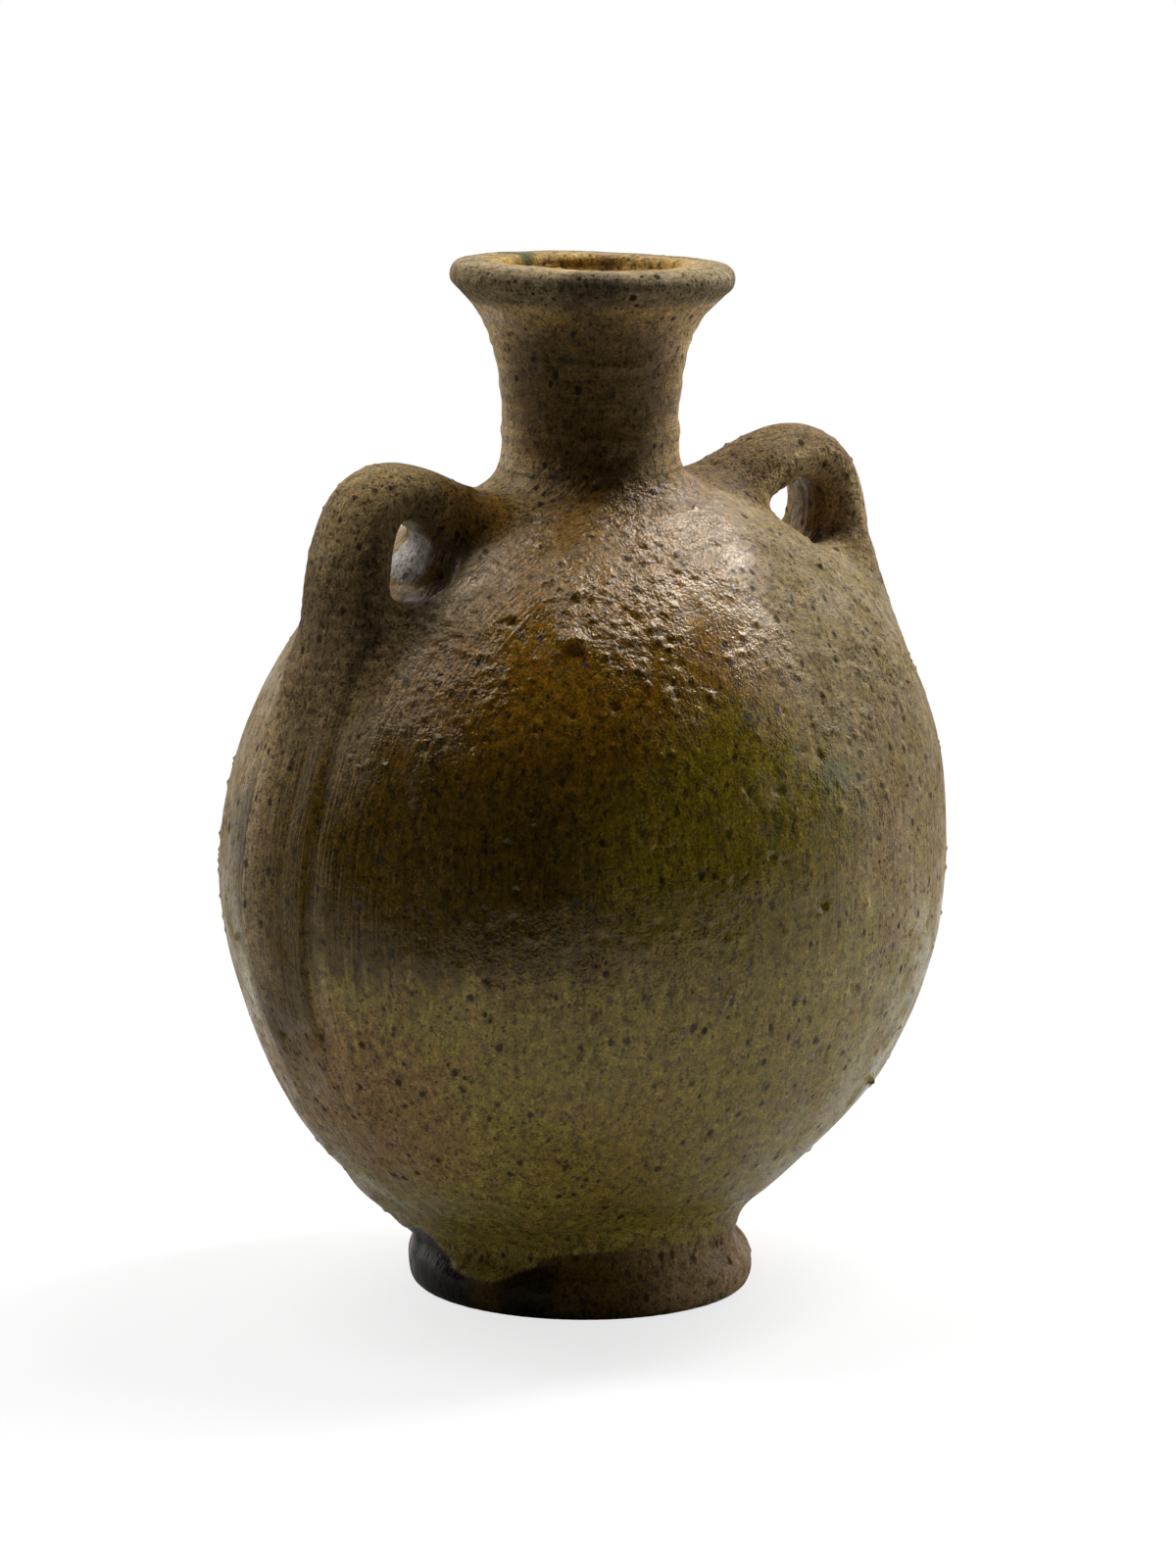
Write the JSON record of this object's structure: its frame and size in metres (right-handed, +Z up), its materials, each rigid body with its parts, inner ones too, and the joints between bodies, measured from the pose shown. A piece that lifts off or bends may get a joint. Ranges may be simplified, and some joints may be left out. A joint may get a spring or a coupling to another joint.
{
  "type": "two-handled pottery flask",
  "caption": "Round-bodied glazed pottery jug of the pilgrim-flask form, with a short flared neck, loop handles on the shoulders and a low ring foot, for carrying and pouring liquid.",
  "frame": {"origin": "centre of the foot ring on the surface the jug stands on", "axes": "+Z up along the neck, +X through the right-hand handle seen from the front, -Y out of the front face"},
  "size_m": [0.197, 0.158, 0.26],
  "materials": {
    "olive_glaze": "glossy amber to olive lead glaze over speckled buff clay",
    "worn_glaze": "thin worn tan glaze, rough and pitted",
    "neck_glaze": "brown speckled glaze with throwing lines, matt on the lip",
    "foot_clay": "brown, thinly glazed, bare clay at the resting edge"
  },
  "bodies": {
    "root": {"front_bowl": "olive_glaze", "rear_bowl": "olive_glaze", "seam_band": "worn_glaze", "neck": "neck_glaze", "neck_luting_coil": "neck_glaze", "left_handle": "worn_glaze", "right_handle": "worn_glaze", "foot_ring": "foot_clay", "foot_luting_coil": "foot_clay"}
  },
  "joints": []
}
